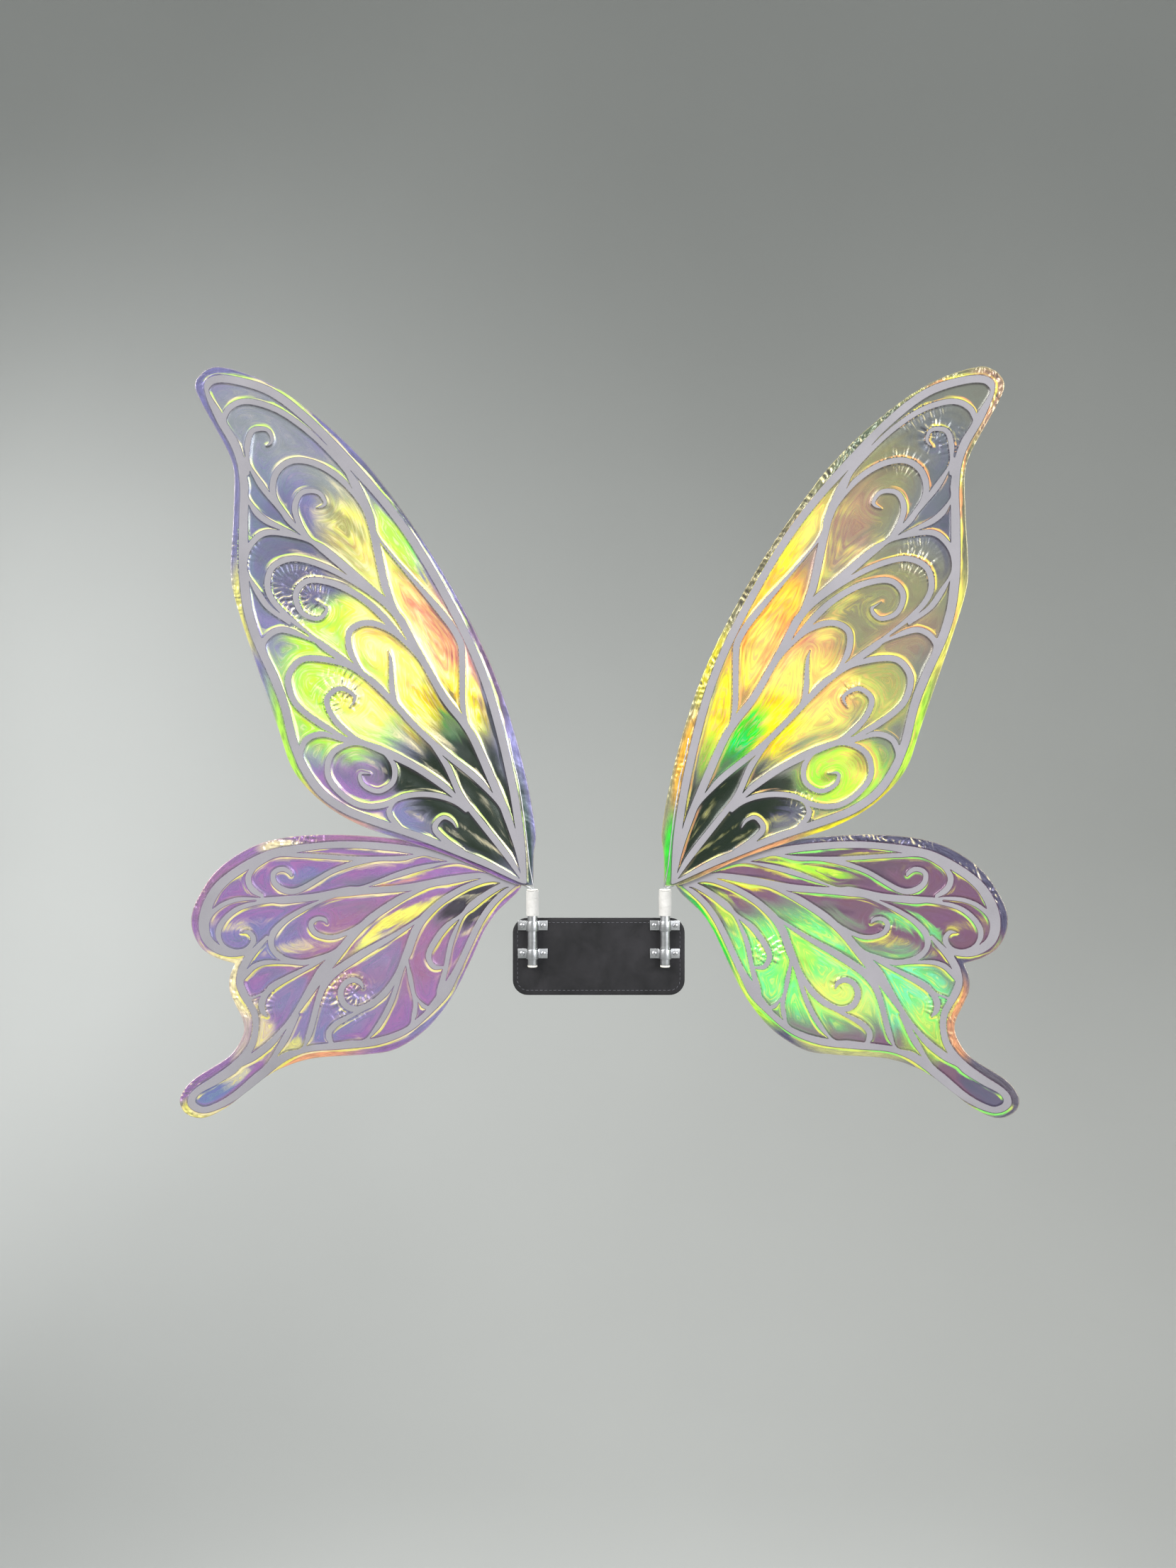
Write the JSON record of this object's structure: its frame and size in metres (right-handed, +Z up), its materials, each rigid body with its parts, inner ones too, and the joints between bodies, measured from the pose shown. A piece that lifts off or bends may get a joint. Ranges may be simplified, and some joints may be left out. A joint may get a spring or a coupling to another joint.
{
  "type": "fairy wings",
  "caption": "Pair of filigree fairy wings with iridescent film panels, wired at the edges and plugged into taped sockets on a padded back plate.",
  "frame": {"origin": "middle of the back pad's flat face that rests on the wearer's back", "axes": "+Z up, +Y out of the pad face towards the wearer, +X towards the wearer's right, along the wing span"},
  "size_m": [0.7232, 0.092, 0.6495],
  "materials": {
    "aluminium": "brushed",
    "steel": "bright drawn wire",
    "white_tape": "woven cotton tape",
    "nylon": "natural nylon",
    "black_fabric": "stretch satin over board",
    "black_foam": "brushed felt over foam",
    "vein_board": "matte sheet, lavender grey",
    "upper_film": "iridescent film, yellow green to violet",
    "lower_film": "iridescent film, violet to green"
  },
  "bodies": {
    "base": {"back_plate": "black_fabric", "back_pad": "black_foam", "saddle_rivet_1": "steel", "saddle_rivet_2": "steel", "saddle_rivet_3": "steel", "saddle_rivet_4": "steel", "saddle_rivet_5": "steel", "saddle_rivet_6": "steel", "saddle_rivet_7": "steel", "saddle_rivet_8": "steel", "left_socket_tube": "aluminium", "left_socket_tape": "white_tape", "left_tube_plug": "nylon", "left_saddle_1": "aluminium", "left_saddle_2": "aluminium", "right_socket_tube": "aluminium", "right_socket_tape": "white_tape", "right_tube_plug": "nylon", "right_saddle_1": "aluminium", "right_saddle_2": "aluminium"},
    "left_bush": {"left_grip_bush": "nylon"},
    "right_bush": {"right_grip_bush": "nylon"},
    "left_wing": {"left_wing_post": "steel", "left_upper_spar_wire": "steel", "left_lower_spar_wire": "steel", "left_upper_vein_frame": "vein_board", "left_lower_vein_frame": "vein_board", "left_upper_film_front": "upper_film", "left_upper_film_back": "upper_film", "left_lower_film_front": "lower_film", "left_lower_film_back": "lower_film"},
    "right_wing": {"right_wing_post": "steel", "right_upper_spar_wire": "steel", "right_lower_spar_wire": "steel", "right_upper_vein_frame": "vein_board", "right_lower_vein_frame": "vein_board", "right_upper_film_front": "upper_film", "right_upper_film_back": "upper_film", "right_lower_film_front": "lower_film", "right_lower_film_back": "lower_film"}
  },
  "joints": [
    {"name": "left_swivel", "type": "hinge", "parent": "base", "child": "left_bush", "pos_m": [-0.0614, -0.0136, 0.063], "axis": [0, 0, 1], "range_deg": [-15, 60]},
    {"name": "left_lift", "type": "slide", "parent": "left_bush", "child": "left_wing", "axis": [0, 0, 1], "range_m": [0, 0.06]},
    {"name": "right_swivel", "type": "hinge", "parent": "base", "child": "right_bush", "pos_m": [0.0614, -0.0136, 0.063], "axis": [0, 0, -1], "range_deg": [-15, 60]},
    {"name": "right_lift", "type": "slide", "parent": "right_bush", "child": "right_wing", "axis": [0, 0, 1], "range_m": [0, 0.06]}
  ]
}
